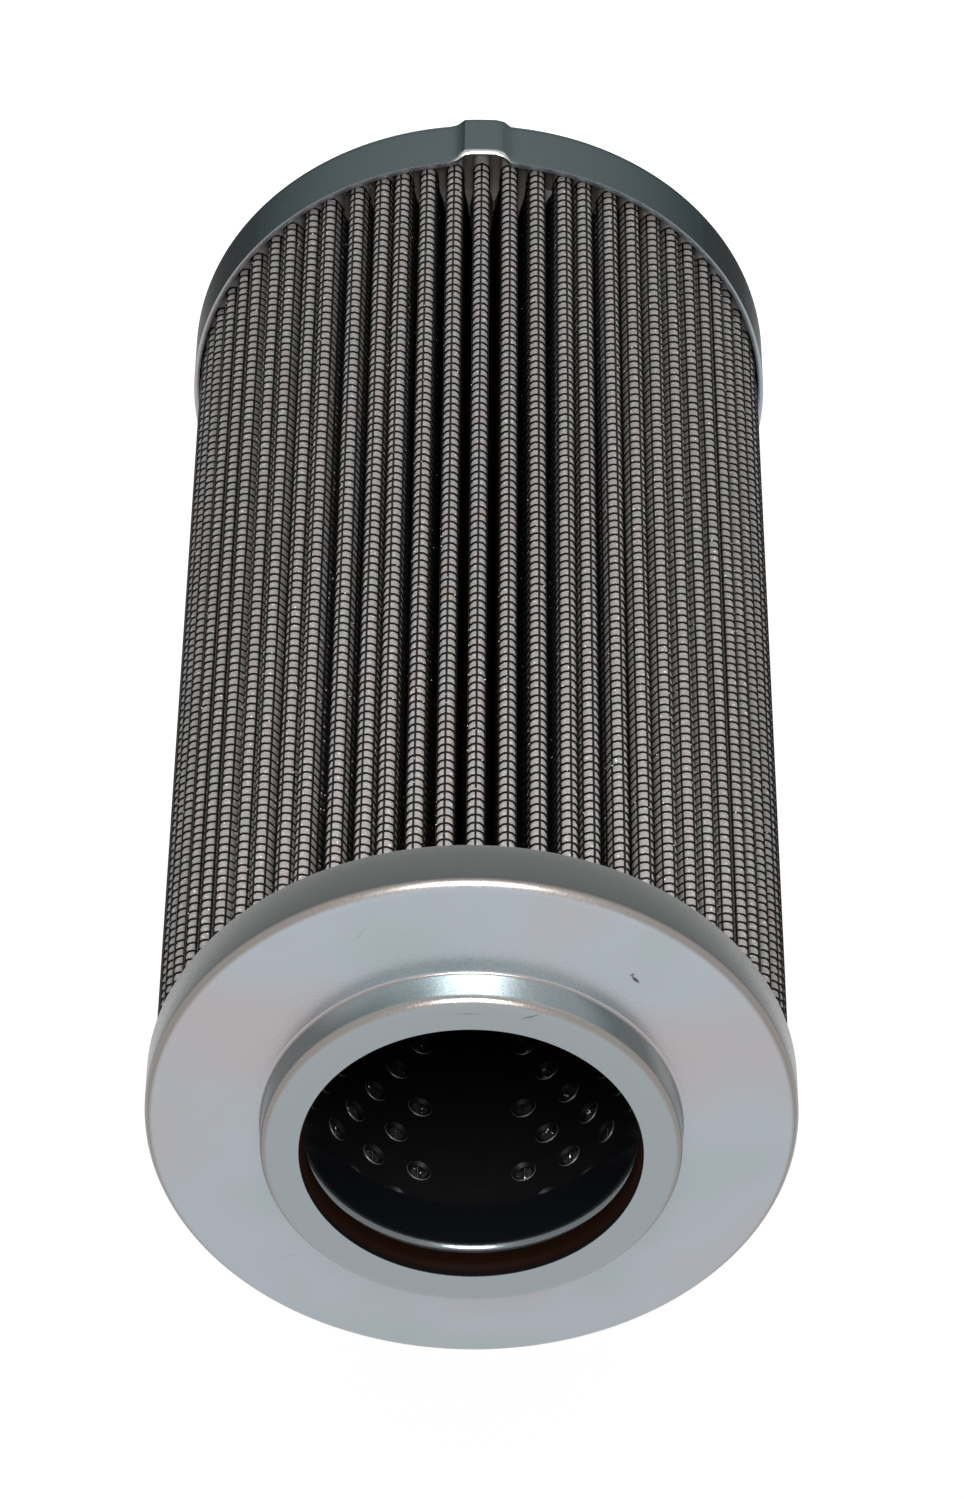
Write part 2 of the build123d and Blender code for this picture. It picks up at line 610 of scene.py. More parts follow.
@dataclass(frozen=True)
class ZincPlate:
    """Blue-passivated zinc on pressed steel sheet: pale and faintly iridescent on the flat faces,
    with a creamy highlight and shade painted on the bends, and darker, greener shade and
    reflection painted on the walls."""

    name: str = "blue_zinc_plate"
    face_colour: str = "#AAB1B8"
    neck_face_colour: str = "#989FA3"
    # Painted highlight and shade on the bends: a creamy tone, darker than the face.
    painted_bend_light_and_shade: str = "#8C8682"
    # Painted shade and dark reflection: the outward walls, and darker still the walls that look
    # sideways.
    painted_wall_shade: str = "#4B4F4E"
    painted_side_shade: str = "#3F4245"
    # Painted reflection on the neck wall: a light tone, with darker clouds of painted shade.
    painted_neck_reflection: str = "#A6AEAD"
    painted_neck_shade: str = "#7C8584"
    # Painted shade on walls that face the axis, inside the bore.
    painted_bore_shade: str = "#3C3F47"
    warm_tint: str = "#AFABAE"
    cool_tint: str = "#A1ABAE"
    mark_colour: str = "#242222"
    edge_tint: str = "#FFFFFF"
    neck_reach: float = 30.0
    neck_face_height: float = 157.0
    metallic: float = 0.9
    roughness: float = 0.3
    rough_spread: tuple[float, float] = (-0.05, 0.06)
    neck_polish: float = 0.07
    tint_size: float = 26.0
    neck_cloud: float = 14.0
    grain_size: float = 0.35
    bump: tuple[float, float] = (0.12, 0.03)
    marks: tuple[Mark, ...] = (
        Mark((-19.05, -24.1, 152.9), 127.0, 0.85, 0.26, 0.85),
        Mark((-18.6, -24.9, 152.9), 40.0, 0.4, 0.2, 0.6),
        Mark((-20.05, 13.85, 152.9), 20.0, 1.2, 0.6, 0.22),
        Mark((-6.7, -22.6, 157.75), 16.0, 1.1, 0.14, 0.5),
        Mark((0.4, -23.0, 157.75), 0.0, 1.8, 0.12, 0.3),
        Mark((13.0, -31.0, 152.9), 60.0, 1.6, 0.08, 0.2),
        Mark((22.0, 22.0, 152.9), 20.0, 1.3, 0.07, 0.2),
    )

    def material(self) -> bpy.types.Material:
        """Builds the plate's material.

        Returns:
            The material.
        """
        material, tree, place = blank_material(self.name)
        radius, facing = from_axis(tree, place)
        at_neck = add_node(
            tree, "Math", {0: radius, 1: self.neck_reach * MM}, operation="LESS_THAN"
        ).outputs[0]
        marks = [(mark.mask(tree, place), linear(self.mark_colour)) for mark in self.marks]
        colour = painted(tree, self.tone_and_painted_light_by_slope(tree, place, facing, at_neck), marks)
        grain = add_node(
            tree, "TexNoise", {"Vector": place, "Scale": 1 / (self.grain_size * MM), "Detail": 3.0}
        ).outputs[0]
        least, most = (self.roughness + spread for spread in self.rough_spread)
        gloss = add_node(
            tree,
            "MapRange",
            {"Value": grain, "From Min": 0.3, "From Max": 0.7, "To Min": least, "To Max": most},
        ).outputs[0]
        neck_wall = add_node(
            tree, "Math", {0: at_neck, 1: facing}, operation="MULTIPLY", use_clamp=True
        ).outputs[0]
        gloss = add_node(
            tree, "Math", {0: neck_wall, 1: -self.neck_polish, 2: gloss}, operation="MULTIPLY_ADD"
        ).outputs[0]
        values = {
            "Base Color": colour,
            "Metallic": self.metallic,
            "Roughness": gloss,
            "Specular Tint": linear(self.edge_tint),
        }
        finish_surface(tree, grain, self.bump, values)
        return material

    def tone_and_painted_light_by_slope(self, tree: Tree, place: Socket, facing: Socket, at_neck: Socket) -> Socket:
        """Builds the plate's colour from how steeply the sheet stands: its own colour and tints on
        the flat faces, a painted highlight and shade on the bends, and painted shade and reflection
        on the walls.

        Args:
            tree: the material's node tree.
            place: the object coordinates.
            facing: the cosine between the normal and outwards.
            at_neck: the mask of the neck and all inside it.

        Returns:
            The colour's socket.
        """
        # Painted shade and reflection on the walls, by which way they face.
        wall_coats = [
            *coats_by(tree, facing, [(self.painted_wall_shade, 0.55, 0.95)]),
            (at_neck, self.painted_neck_tone(tree, place)),
            *coats_by(tree, facing, [(self.painted_bore_shade, 0.1, -0.4)]),
        ]
        wall = painted(tree, linear(self.painted_side_shade), wall_coats)
        clouds = add_node(
            tree,
            "TexNoise",
            {"Vector": place, "Scale": 1 / (self.tint_size * MM), "Detail": 2.0, "Roughness": 0.45},
        ).outputs[0]
        height = add_node(tree, "SeparateXYZ", {0: place}).outputs["Z"]
        on_neck = add_node(
            tree, "Math", {0: height, 1: self.neck_face_height * MM}, operation="GREATER_THAN"
        ).outputs[0]
        tints = ((self.warm_tint, 0.5, 0.68), (self.cool_tint, 0.48, 0.3))
        face_coats = [*coats_by(tree, clouds, tints), (on_neck, linear(self.neck_face_colour))]
        face = painted(tree, linear(self.face_colour), face_coats)
        normal = add_node(tree, "NewGeometry").outputs["Normal"]
        upright = add_node(tree, "SeparateXYZ", {0: normal}).outputs["Z"]
        flatness = add_node(tree, "Math", {0: upright}, operation="ABSOLUTE").outputs[0]
        # Lays the painted bend highlight and shade, then the faces' own colour, over the painted
        # walls.
        slopes = []
        for low, high, tone in ((0.12, 0.5, linear(self.painted_bend_light_and_shade)), (0.75, 0.97, face)):
            share = add_node(
                tree,
                "MapRange",
                {"Value": flatness, "From Min": low, "From Max": high},
                interpolation_type="SMOOTHSTEP",
            ).outputs[0]
            slopes.append((share, tone))
        return painted(tree, wall, slopes)

    def painted_neck_tone(self, tree: Tree, place: Socket) -> Socket:
        """Builds the painted reflection on the neck wall: a light tone with darker clouds of
        painted shade.

        Args:
            tree: the material's node tree.
            place: the object coordinates.

        Returns:
            The colour's socket.
        """
        clouds = add_node(
            tree, "TexNoise", {"Vector": place, "Scale": 1 / (self.neck_cloud * MM), "Detail": 1.0}
        ).outputs[0]
        shade = coats_by(tree, clouds, [(self.painted_neck_shade, 0.42, 0.58)])
        return painted(tree, linear(self.painted_neck_reflection), shade)


@dataclass(frozen=True)
class FilterFleece:
    """Glass fibre and polyester fleece that bulges between the wires: warm light grey, matt,
    with white specks painted as glints on its fibres, and painted dark towards the foot of
    each fold as shadow."""

    name: str = "glass_fibre_fleece"
    colour: str = "#97928F"
    pink: str = "#998F8C"
    green: str = "#91938D"
    painted_fold_shadow: str = "#0A0A0C"
    light_from: float = 37.7
    dark_from: float = 34.8
    roughness: float = 0.62
    cloud_size: float = 3.0
    fibre_size: float = 0.3
    bump: tuple[float, float] = (0.35, 0.05)
    glint_size: float = 0.7
    glint_reach: float = 0.17
    glint_rarity: float = 0.84

    def material(self) -> bpy.types.Material:
        """Builds the fleece's material.

        Returns:
            The material.
        """
        material, tree, place = blank_material(self.name)
        clouds = add_node(
            tree, "TexNoise", {"Vector": place, "Scale": 1 / (self.cloud_size * MM), "Detail": 1.0}
        ).outputs[0]
        fibres = add_node(
            tree, "TexNoise", {"Vector": place, "Scale": 1 / (self.fibre_size * MM), "Detail": 2.0}
        ).outputs[0]
        # White specks painted as glints where the fibre noise is high.
        sparkle = add_node(
            tree, "MapRange", {"Value": fibres, "From Min": 0.56, "From Max": 0.72, "To Max": 0.4}
        ).outputs[0]
        tints = ((self.pink, 0.52, 0.72), (self.green, 0.46, 0.26))
        # Painted shadow: darker towards the foot of each fold.
        shadow = ((self.painted_fold_shadow, self.light_from * MM, self.dark_from * MM),)
        glint = glints(tree, place, self.glint_size, self.glint_reach, self.glint_rarity)
        coats = [
            *coats_by(tree, clouds, tints),
            (sparkle, WHITE),
            *coats_by(tree, from_axis(tree, place)[0], shadow),
            (glint, WHITE),
        ]
        colour = painted(tree, linear(self.colour), coats)
        values = {"Base Color": colour, "Roughness": self.roughness}
        finish_surface(tree, fibres, self.bump, values)
        return material


@dataclass(frozen=True)
class PlainFinish:
    """A finish of one substance: its two shades, gloss and grain, its bare edges and its painted
    glints.
    """

    name: str
    dark: str
    light: str
    metallic: float
    roughness: float
    mottle_size: float
    bump_depth: float = 0.02
    specular: float = 0.5
    edge_colour: str = ""
    glint_size: float = 0.0
    glint_reach: float = 0.09
    glint_rarity: float = 0.7

    def material(self) -> bpy.types.Material:
        """Builds the material.

        Returns:
            The material.
        """
        material, tree, place = blank_material(self.name)
        mottle = add_node(
            tree, "TexNoise", {"Vector": place, "Scale": 1 / (self.mottle_size * MM), "Detail": 4.0}
        ).outputs[0]
        coats = [(mottle, linear(self.light))]
        if self.edge_colour:
            coats.append((self.cut_edges(tree, place), linear(self.edge_colour)))
        # White specks painted as glints.
        if self.glint_size:
            glint = glints(tree, place, self.glint_size, self.glint_reach, self.glint_rarity)
            coats.append((glint, WHITE))
        colour = painted(tree, linear(self.dark), coats)
        values = {
            "Base Color": colour,
            "Metallic": self.metallic,
            "Roughness": self.roughness,
            "Specular IOR Level": self.specular,
        }
        finish_surface(tree, mottle, (0.4, self.bump_depth), values)
        return material

    def cut_edges(self, tree: Tree, place: Socket) -> Socket:
        """Builds a mask of faces that look along the sheet: the punched edges of a tube.

        Args:
            tree: the material's node tree.
            place: the object coordinates.

        Returns:
            The mask's socket.
        """
        facing = from_axis(tree, place)[1]
        squarely = add_node(tree, "Math", {0: facing}, operation="ABSOLUTE").outputs[0]
        return add_node(tree, "Math", {0: squarely, 1: 0.6}, operation="LESS_THAN").outputs[0]


# Zinc of the closed end's cap and skirt, a shaded copy of the plate: darker walls as painted shade,
# a lighter bend as painted highlight, and sides that mirror less of the surround at a low angle
SHADED_ZINC = ZincPlate(
    name="shaded_blue_zinc_plate",
    painted_wall_shade="#51595B",
    painted_side_shade="#16191A",
    painted_bend_light_and_shade="#B0B2AE",
    edge_tint="#6A6A6A",
)
# Zinc on the drawn sleeve: glossier, with a bright line along its lip from the lamp, and the lip's
# bend painted darker at its sides as shade
DRAWN_ZINC = ZincPlate(name="drawn_blue_zinc_plate", painted_bend_light_and_shade="#666B6E", roughness=0.18)
# Epoxy-coated steel wire: black, with a wet gloss and white specks painted as glints here and there
COATED_WIRE = PlainFinish(
    "epoxy_coated_wire", "#020202", "#070606", 0.0, 0.45, 0.6, specular=0.1, glint_size=0.9
)
# Bare galvanised wire mesh against the tube, painted near black as shade inside the tube, with
# white specks painted as glints through its holes
INNER_MESH = PlainFinish(
    "galvanised_wire_mesh",
    "#0A0A0A",
    "#3A3938",
    0.7,
    0.45,
    0.7,
    glint_size=1.1,
    glint_reach=0.3,
    glint_rarity=0.35,
)
# Phosphated steel of the rolled tube: dark and dull, bare and bright where it was punched
TUBE_STEEL = PlainFinish(
    "phosphated_steel", "#121214", "#1E1E20", 0.6, 0.45, 3.0, edge_colour="#626266"
)
# Nitrile rubber of the O-ring: dark brown, smooth from its mould
SEAL_RUBBER = PlainFinish("nitrile_rubber", "#120703", "#190B05", 0.0, 0.65, 2.0, specular=0.04)
# Two-part potting adhesive: grey-beige, cured with a dull skin
POTTING = PlainFinish("potting_adhesive", "#423E3B", "#5C5753", 0.0, 0.5, 1.2, 0.08)
# Fleece and glass fibre in the folds behind the tube's holes: in deep shadow
INNER_FLEECE = PlainFinish("shaded_glass_fibre", "#131313", "#2B2A29", 0.0, 0.7, 0.8)


# The pressed caps


@dataclass
class NeckCap:
    """The cap at the neck end: one pressed sheet with skirt, flat face, raised neck and lip."""

    cap_radius: float = 39.0
    skirt_bottom: float = 146.15
    face_height: float = 152.9
    neck_radius: float = 25.1
    neck_top: float = 157.75
    lip_radius: float = 20.45
    sheet: float = 0.7
    outer_bend: float = 1.4
    root_bend: float = 0.45
    neck_bend: float = 1.3
    steps: int = 180

    def build(self) -> Piece:
        """Models the cap.

        Returns:
            The cap's object.
        """
        section = [
            Corner((self.cap_radius, 0, self.skirt_bottom)),
            Corner((self.cap_radius, 0, self.face_height), self.outer_bend),
            Corner((self.neck_radius, 0, self.face_height), self.root_bend, 4),
            Corner((self.neck_radius, 0, self.neck_top), self.neck_bend),
            Corner((self.lip_radius, 0, self.neck_top)),
        ]
        cap = draw_path("neck_end_cap_shell", section)
        spin_round(cap, self.steps)
        give_wall(cap, self.sheet)
        return cap


@dataclass
class ClosedCap:
    """The cap at the closed end: a pressed dish whose skirt has three lugs pressed out of it."""

    cap_radius: float = 39.0
    middle_radius: float = 0.4
    skirt_rings: tuple[float, ...] = (1.9, 7.6, 8.0, 8.3, 8.6, 8.8, 9.0, 9.15)
    skirt_top: float = 9.3
    sheet: float = 0.7
    bend: float = 1.4
    lug_count: int = 3
    first_lug: float = FRONT_ANGLE - 0.5
    lug_reach: float = 1.08
    lug_top_width: float = 4.5
    lug_base_width: float = 8.0
    lug_profile: tuple[tuple[float, float], ...] = (
        (0.1, 0.0),
        (1.1, 1.0),
        (8.0, 1.0),
        (8.6, 0.95),
        (9.0, 0.78),
        (9.3, 0.52),
    )
    lug_dip: float = 0.85
    dip_from: float = 7.6
    steps: int = 240

    def build(self) -> Piece:
        """Models the cap.

        Returns:
            The cap's object.
        """
        section = [
            Corner((self.middle_radius, 0, 0)),
            Corner((self.cap_radius, 0, 0), self.bend),
            *(Corner((self.cap_radius, 0, height)) for height in self.skirt_rings),
            Corner((self.cap_radius, 0, self.skirt_top)),
        ]
        cap = draw_path("closed_end_cap_shell", section)
        spin_round(cap, self.steps)
        self.close_middle(cap)
        self.press_lugs(cap)
        give_wall(cap, self.sheet)
        return cap

    def close_middle(self, cap: Piece) -> None:
        """Fills the small circle that the spin leaves at the axis.

        Args:
            cap: the spun shell.
        """
        reach = (self.middle_radius + 0.1) * MM
        with edit_mode(cap):
            pick(cap, lambda co: math.hypot(co.x, co.y) < reach)
            bpy.ops.mesh.edge_face_add()
            face_one_way()

    def lug_share(self, height: float) -> float:
        """How much of its full reach a lug has at a height.

        Args:
            height: above the floor, in millimetres.

        Returns:
            The share between 0 and 1.
        """
        for (low, less), (high, more) in zip(self.lug_profile, self.lug_profile[1:]):
            if low <= height <= high:
                part = (height - low) / (high - low)
                return less + (more - less) * (eased(part) if less < 0.5 else part)
        return 0.0

    def press_lugs(self, cap: Piece) -> None:
        """Moves the skirt outwards at each lug, column by column and ring by ring.

        Args:
            cap: the spun shell.
        """
        half_top = math.degrees(self.lug_top_width / 2 / self.cap_radius)
        half_base = math.degrees(self.lug_base_width / 2 / self.cap_radius)
        step = 360 / self.steps
        skirt = (self.cap_radius - self.bend) * MM
        outside = [v.co.z for v in cap.data.vertices if v.co.to_2d().length > skirt]
        heights = sorted({round(height / MM, 3) for height in outside})
        with edit_mode(cap):
            for lug in range(self.lug_count):
                middle = (self.first_lug + lug * 360 / self.lug_count) % 360
                for column in range(self.steps):
                    away = (column * step - middle + 180) % 360 - 180
                    across = (half_base - abs(away)) / (half_base - half_top)
                    across = eased(min(1.0, max(0.0, across)))
                    if across:
                        self.press_column(cap, math.radians(column * step), across, heights)

    def press_column(
        self, cap: Piece, angle: float, across: float, heights: Sequence[float]
    ) -> None:
        """Moves one upright row of the skirt's points outwards, and its rim a little down.

        Args:
            cap: the cap's object, in edit mode.
            angle: where the row stands, in radians.
            across: the share of the lug's reach that it has there.
            heights: the heights of the row's points.
        """
        skirt = (self.cap_radius - self.bend) * MM
        outwards = Vector((math.cos(angle), math.sin(angle), 0))
        sideways = Vector((-math.sin(angle), math.cos(angle), 0))
        for height in heights:
            reach = self.lug_reach * across * self.lug_share(height)
            if reach == 0.0:
                continue
            pick(
                cap,
                lambda co: abs(co.z - height * MM) < MERGE_DISTANCE
                and abs(co.dot(sideways)) < 0.2 * MM
                and co.dot(outwards) > skirt,
            )
            drawn = max(0.0, height - self.dip_from) / (self.skirt_top - self.dip_from)
            shift(outwards.x * reach, outwards.y * reach, -self.lug_dip * across * drawn)


# The seal and the sleeve


@dataclass
class SealRing:
    """The O-ring between the lip and the sleeve, squeezed a little flat where they grip it."""

    bore_radius: float = 19.85
    cord: float = 3.55
    bottom: float = 153.5
    seat_width: float = 0.9
    steps: int = 160

    def build(self) -> Piece:
        """Models the ring.

        Returns:
            The ring's object.
        """
        low, high = self.bottom, self.bottom + self.cord
        near_side, far_side = self.bore_radius, self.bore_radius + self.cord
        middle = self.bore_radius + self.cord / 2
        rounded = (self.cord - self.seat_width) / 2
        section = [
            Corner((middle, 0, low)),
            Corner((far_side, 0, low), rounded),
            Corner((far_side, 0, high), rounded),
            Corner((near_side, 0, high), rounded),
            Corner((near_side, 0, low), rounded),
            Corner((middle, 0, low)),
        ]
        ring = draw_path("o_ring_cord", section)
        spin_round(ring, self.steps)
        smooth(ring)
        return ring


@dataclass
class GuideSleeve:
    """The flanged sleeve under the O-ring, its rounded lip turned down into the tube."""

    bore_radius: float = 20.0
    flange_radius: float = 24.2
    flange_top: float = 153.5
    length: float = 7.7
    sheet: float = 0.7
    bend: float = 1.4
    steps: int = 160

    def build(self) -> Piece:
        """Models the sleeve.

        Returns:
            The sleeve's object.
        """
        section = [
            Corner((self.bore_radius, 0, self.flange_top - self.length)),
            Corner((self.bore_radius, 0, self.flange_top), self.bend, 8),
            Corner((self.flange_radius, 0, self.flange_top)),
        ]
        sleeve = draw_path("guide_sleeve_shell", section)
        spin_round(sleeve, self.steps)
        give_wall(sleeve, self.sheet)
        return sleeve


@dataclass
class CoreTube:
    """The perforated tube: sheet punched flat with staggered round holes, then rolled up."""

    bore_radius: float = 20.85
    wall: float = 0.6
    bottom: float = 3.2
    top: float = 152.8
    columns: int = 39
    column_angle: float = 8.526
    hole_diameter: float = 3.2
    hole_sides: int = 16
    row_step: float = 5.6
    highest_hole: float = 145.85
    rows: int = 25
    seam_cuts: int = 4
    burr_height: float = 0.12
    burr_width: float = 0.08

    def build(self) -> Piece:
        """Models the tube.

        Returns:
            The tube's object.
        """
        half = self.columns // 2
        cell = self.punched_cell()
        long_row = self.one_row(cell, half + 1)
        short_row = self.one_row(cell, half)
        self.widen(short_row, self.hole_step() * half, self.hole_step() / 2, 2)
        stack = []
        for row in range(self.rows):
            source = long_row if row % 2 else short_row
            stack.append(copied(source, move(0, 0, self.highest_hole - row * self.row_step)))
        discard(cell, long_row, short_row)
        sheet = joined("core_tube_wall", stack)
        self.draw_ends(sheet)
        punched = self.hole_step() * (half + 1)
        self.widen(sheet, punched, math.pi * self.bore_radius - punched / 2, self.seam_cuts)
        apply_modifier(
            sheet, "SIMPLE_DEFORM", deform_method="BEND", deform_axis="Z", angle=FULL_TURN
        )
        with edit_mode(sheet):
            shift(0, -self.bore_radius, 0)
            weld(5 * MERGE_DISTANCE)
            face_one_way()
        apply_modifier(sheet, "SOLIDIFY", thickness=self.wall * MM, offset=1.0)
        smooth(sheet)
        return sheet

    def hole_step(self) -> float:
        """The distance along the flat sheet from one hole to the next in its row."""
        return 2 * math.radians(self.column_angle) * self.bore_radius

    def punched_cell(self) -> Piece:
        """Models the sheet round one hole, with the burr that the punch leaves.

        Returns:
            The cell, standing in the XZ plane with its hole round the origin.
        """
        deselect()
        cuts = self.hole_sides // 4
        bpy.ops.mesh.primitive_grid_add(
            x_subdivisions=cuts, y_subdivisions=cuts, size=1, location=(0, 0, 0)
        )
        cell = bpy.context.object
        cell.name = "punched_cell"
        hole_radius = self.hole_diameter / 2
        with edit_mode(cell):
            pick(cell, lambda co: max(abs(co.x), abs(co.y)) < 0.49)
            bpy.ops.mesh.delete(type="VERT")
            select_all()
            bpy.ops.mesh.delete(type="ONLY_FACE")
            select_all()
            bpy.ops.transform.resize(value=(self.hole_step() * MM, self.row_step * MM, 1))
            bpy.ops.mesh.primitive_circle_add(
                vertices=self.hole_sides, radius=hole_radius * MM, location=(0, 0, 0)
            )
            select_all()
            bpy.ops.mesh.bridge_edge_loops()
            pick(cell, lambda co: co.length < (hole_radius + 0.01) * MM)
            extrude(0, 0, self.burr_height)
            share = 1 - self.burr_width / hole_radius
            bpy.ops.transform.resize(value=(share, share, 1), center_override=(0, 0, 0))
            select_all()
            bpy.ops.transform.rotate(
                value=math.pi / 2, orient_axis="X", center_override=(0, 0, 0)
            )
        return cell

    def one_row(self, cell: Piece, holes: int) -> Piece:
        """Copies the cell along a row, centred on the origin.

        Args:
            cell: the sheet round one hole.
            holes: how many holes the row has.

        Returns:
            The row.
        """
        row = copied(cell, Matrix.Translation(((1 - holes) / 2 * self.hole_step() * MM, 0, 0)))
        array(row, holes, (self.hole_step(), 0, 0), merged=True)
        return row

    def draw_ends(self, sheet: Piece) -> None:
        """Draws the sheet's top and bottom edges out to the tube's two ends.

        Args:
            sheet: the punched sheet, flat in the XZ plane.
        """
        upper = self.highest_hole + self.row_step / 2
        lower = upper - self.rows * self.row_step
        with edit_mode(sheet):
            weld()
            for edge, end in ((upper, self.top), (lower, self.bottom)):
                pick(sheet, at_height(edge))
                extrude(0, 0, end - edge)

    def widen(self, sheet: Piece, width: float, more: float, cuts: int) -> None:
        """Draws a flat sheet's two side edges outwards.

        Args:
            sheet: the sheet, centred on the origin.
            width: its width before.
            more: how much it gets on each side.
            cuts: how many flats that is drawn in.
        """
        with edit_mode(sheet):
            for side in (-1, 1):
                for cut in range(cuts):
                    edge = side * (width / 2 + more * cut / cuts)
                    pick(sheet, lambda co: abs(co.x - edge * MM) < MERGE_DISTANCE)
                    extrude(side * more / cuts, 0, 0)


# The pleat pack


@dataclass
class PleatPack:
    """Fleece folded with an outer mesh of coated wire into pleats that stand close together."""

    count: int = 66
    groups: int = 3
    tip_centre: float = 36.98
    half_width: float = 1.0
    root_radius: float = 22.3
    bottom: float = 3.2
    top: float = 149.7
    wire_pitch: float = 1.411
    first_wire: float = 8.4
    rows: int = 98
    tip_segments: int = 3
    bulge_levels: tuple[float, float, float] = (0.12, 0.5, 0.88)
    hollow: float = 0.955
    crest: float = 1.05
    wire_foot: float = 0.94
    wire_top: float = 1.14
    wire_width: float = 0.40
    wire_depth: float = 8.0
    axial_pitch: float = 1.45
    axial_reach: float = 6.5
    axial_radius: float = 0.14
    axial_lift: float = 1.035
    strip_length: float = 33.35
    seen_angles: tuple[float, ...] = (
        -153.4, -148.9, -144.0, -138.8, -133.6, -128.4, -123.0, -117.7,
        -111.8, -107.5, -101.7, -96.0, -90.3, -84.8, -79.3, -73.9,
        -69.6, -63.9, -57.3, -53.0, -47.1, -42.5, -36.5, -31.6,
    )
    angle_spread: float = 0.42
    angle_limit: float = 0.7
    seed: int = 7
    angles: list[float] = field(default_factory=list)

    def place_pleats(self) -> None:
        """Settles each pleat's angle: as measured in front, and behind an even pitch with a
        little disorder, as in any folded pack."""
        chance = random.Random(self.seed)
        hidden = self.count - len(self.seen_angles)
        first, last = self.seen_angles[0] + 360, self.seen_angles[-1]
        pitch = (first - last) / (hidden + 1)
        self.angles = list(self.seen_angles)
        for pleat in range(hidden):
            drift = chance.gauss(0, self.angle_spread)
            drift = max(-self.angle_limit, min(self.angle_limit, drift))
            self.angles.append(last + pitch * (pleat + 1) + drift)

    def fold_path(self, name: str, foot: float, scale: float = 1.0) -> Piece:
        """Draws a pleat's outline as a path: up one flank, round the tip and down the other.

        Args:
            name: the new object's name.
            foot: the radius where both flanks start.
            scale: the half width as a share of the pleat's.

        Returns:
            The path's object, pointing along X.
        """
        side = self.half_width * scale
        tip = self.tip_centre + side
        corners = [
            Corner((foot, -side, 0)),
            Corner((tip, -side, 0), side, self.tip_segments),
            Corner((tip, side, 0), side, self.tip_segments),
            Corner((foot, side, 0)),
        ]
        return draw_path(name, corners)

    def swell(self, piece: Piece, height: float, factor: float) -> None:
        """Scales the tip's inner points at one height about the tip's centre.

        Args:
            piece: the pleat's object, in edit mode.
            height: the points' height in millimetres.
            factor: how much they move outwards.
        """
        centre = self.tip_centre * MM
        level = at_height(height)
        pick(piece, lambda co: level(co) and co.x > centre + 0.05 * MM)
        bpy.ops.transform.resize(
            value=(factor, factor, 1), center_override=(centre, 0, height * MM)
        )

    def one_pleat(self) -> Piece:
        """Models one pleat: fleece that bulges between the wires round the tip, with flat flanks.

        Returns:
            The pleat's object, pointing along X.
        """
        low, middle, high = (
            self.first_wire + share * self.wire_pitch for share in self.bulge_levels
        )
        bulge = self.crest / self.hollow
        foot = (self.root_radius + 0.1) * MM
        pleat = self.fold_path("one_pleat", self.root_radius)
        with edit_mode(pleat):
            pick(pleat, lambda co: co.x < foot)
            bpy.ops.mesh.edge_face_add()
            select_all()
            shift(0, 0, low)
            self.swell(pleat, low, self.hollow)
            reached = low
            for height, factor in ((middle, bulge), (high, 1 / bulge), (self.wire_pitch + low, 1)):
                pick(pleat, at_height(reached))
                extrude(0, 0, height - reached)
                reached = height
                if factor != 1:
                    self.swell(pleat, height, factor)
        array(pleat, self.rows, (0, 0, self.wire_pitch), merged=True)
        with edit_mode(pleat):
            last = low + self.rows * self.wire_pitch
            for level, end in ((low, self.bottom), (last, self.top)):
                pick(pleat, at_height(level))
                extrude(0, 0, end - level)
            for end in (self.bottom, self.top):
                pick(pleat, at_height(end))
                bpy.ops.mesh.edge_face_add()
            face_one_way()
            self.clear_flats(pleat, foot)
        smooth(pleat, math.radians(50))
        return pleat

    def clear_flats(self, pleat: Piece, foot: float) -> None:
        """Dissolves the rows of faces that lie flat on a pleat's foot and on its two flanks.

        Args:
            pleat: the pleat's object, in edit mode.
            foot: how far out its foot reaches, in metres.
        """
        centre = self.tip_centre * MM
        flats = (
            lambda face: face.center.x < foot,
            lambda face: face.normal.y < -0.999 and face.center.x < centre,
            lambda face: face.normal.y > 0.999 and face.center.x < centre,
        )
        for flat in flats:
            pick_faces(pleat, flat)
            bpy.ops.mesh.dissolve_faces(use_verts=True)

    def one_hoop(self) -> Piece:
        """Models the wires that go round one pleat: one wire, arrayed up the pleat.

        Returns:
            The wires' object, pointing along X.
        """
        foot = self.tip_centre - self.wire_depth
        centre = (self.tip_centre * MM, 0, 0)
        half = self.wire_width / 2
        rise = self.wire_top / self.wire_foot
        wire = self.fold_path("one_hoop", foot, self.wire_foot)
        with edit_mode(wire):
            shift(0, 0, self.first_wire - half)
            for lift, factor in ((half, rise), (half, 1 / rise), (-2 * half, 1.0)):
                extrude(0, 0, lift)
                bpy.ops.transform.resize(value=(factor, factor, 1), center_override=centre)
            weld()
            for side in (-1, 1):
                pick(wire, lambda co: co.x < (foot + 2) * MM and co.y * side > 0)
                bpy.ops.mesh.edge_face_add()
            face_one_way()
        array(wire, self.rows, (0, 0, self.wire_pitch))
        smooth(wire, math.pi)
        return wire

    def one_axial_wire(self) -> Piece:
        """Models one straight wire of the mesh, from cap to cap on the axis.

        Returns:
            The wire's object.
        """
        length = self.rows * self.wire_pitch
        middle = (0, 0, self.first_wire + length / 2)
        wire = straight_wire("one_axial_wire", self.axial_radius, length, middle, "TRIFAN")
        smooth(wire, math.radians(75))
        return wire

